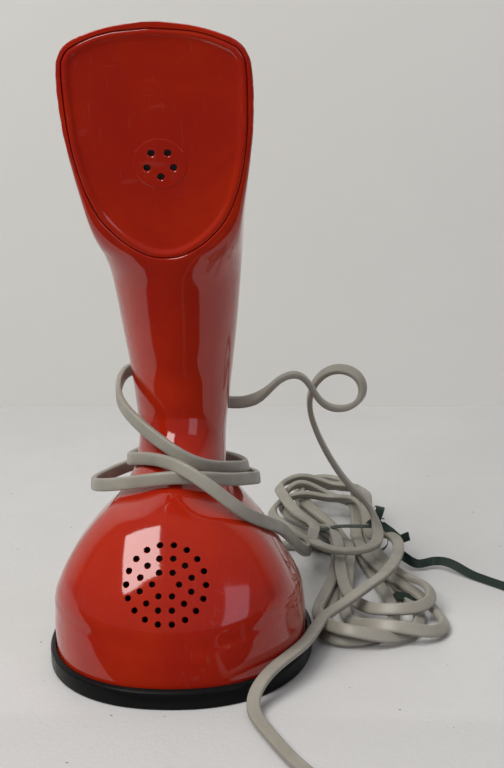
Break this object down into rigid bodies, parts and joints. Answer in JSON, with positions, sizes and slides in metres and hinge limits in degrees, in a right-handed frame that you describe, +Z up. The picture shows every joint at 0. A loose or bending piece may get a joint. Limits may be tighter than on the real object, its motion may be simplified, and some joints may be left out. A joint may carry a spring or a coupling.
{
  "type": "upright one-piece telephone",
  "caption": "Upright one-piece telephone: earpiece in a leaning head, mouthpiece in a domed base, dial and hook button underneath, flat cord wound round the neck and tied in a hank.",
  "frame": {"origin": "on the table, under the middle of the base ring", "axes": "+Z up; the earpiece and mouthpiece look towards -Y; +X is to the right when the face is looked at from the front"},
  "size_m": [0.1883, 0.3048, 0.2346],
  "materials": {
    "case": "glossy moulded red-orange plastic, lightly rubbed",
    "base_rubber": "satin black moulded rubber",
    "black_plastic": "black moulded plastic",
    "ivory_plastic": "aged ivory moulded plastic",
    "button_plastic": "red moulded plastic",
    "steel": "zinc-plated steel",
    "brass": "machined brass",
    "copper_winding": "lacquered copper winding",
    "board": "brown laminate",
    "cord_sheath": "warm grey flexible sheath, satin",
    "ribbon": "dark green satin ribbon",
    "clear_plastic": "clear moulded plastic"
  },
  "bodies": {
    "case": {"base_plate": "black_plastic", "base_ring": "base_rubber", "base_screw_1": "steel", "base_screw_2": "steel", "base_screw_3": "steel", "base_screw_4": "steel", "board_post_1": "brass", "board_post_2": "brass", "capacitor": "steel", "chassis_plate": "steel", "chassis_post_1": "brass", "chassis_post_2": "brass", "chassis_post_3": "brass", "circuit_board": "board", "coil_bobbin": "copper_winding", "coil_core": "steel", "cord_base_run": "cord_sheath", "cord_front_run": "cord_sheath", "cord_hank": "cord_sheath", "cord_neck_run": "cord_sheath", "cord_strain_relief": "base_rubber", "dial_case": "black_plastic", "earpiece_plate": "case", "finger_stop": "steel", "governor_cup": "steel", "hank_tie": "ribbon", "hook_contacts": "black_plastic", "left_case_half": "case", "line_lead": "cord_sheath", "modular_plug": "clear_plastic", "number_plate": "ivory_plastic", "plug_latch": "clear_plastic", "plunger_spring": "steel", "pulse_contacts": "black_plastic", "receiver_capsule": "black_plastic", "receiver_clamp": "steel", "receiver_gasket": "base_rubber", "receiver_lead": "black_plastic", "return_spring": "steel", "ribbon_tail": "ribbon", "right_case_half": "case", "switch_bridge": "steel", "transmitter_capsule": "black_plastic", "transmitter_cup": "base_rubber", "transmitter_lead": "black_plastic"},
    "dial": {"finger_wheel": "ivory_plastic", "dial_shaft": "brass", "main_gear": "brass"},
    "pinion": {"pinion_shaft": "steel", "pinion_gear": "brass", "pulse_cam": "ivory_plastic"},
    "governor": {"governor_spindle": "steel", "governor_weights": "brass"},
    "plunger": {"hook_plunger": "button_plastic"}
  },
  "joints": [
    {"name": "dial_turn", "type": "hinge", "parent": "case", "child": "dial", "pos_m": [0, 0, 0.01], "axis": [0, 0, 1], "range_deg": [0, 318], "stiffness_Nm_per_rad": 0.004, "springref_deg": -85.94},
    {"name": "pinion_turn", "type": "hinge", "parent": "case", "child": "pinion", "pos_m": [0, 0.03, 0.018], "axis": [0, 0, 1], "range_deg": [-1275, 0]},
    {"name": "governor_turn", "type": "hinge", "parent": "case", "child": "governor", "pos_m": [0.0144, 0.03, 0.022], "axis": [0, 0, 1], "range_deg": [0, 3820]},
    {"name": "hook_press", "type": "slide", "parent": "case", "child": "plunger", "axis": [0, 0, 1], "range_m": [-0.004, 0], "stiffness_N_per_m": 60, "springref_m": -0.01, "deforming": ["plunger_spring"]}
  ],
  "couplings": [
    {"joint": "pinion_turn", "follows": "dial_turn", "ratio": -4},
    {"joint": "governor_turn", "follows": "dial_turn", "ratio": 12}
  ]
}
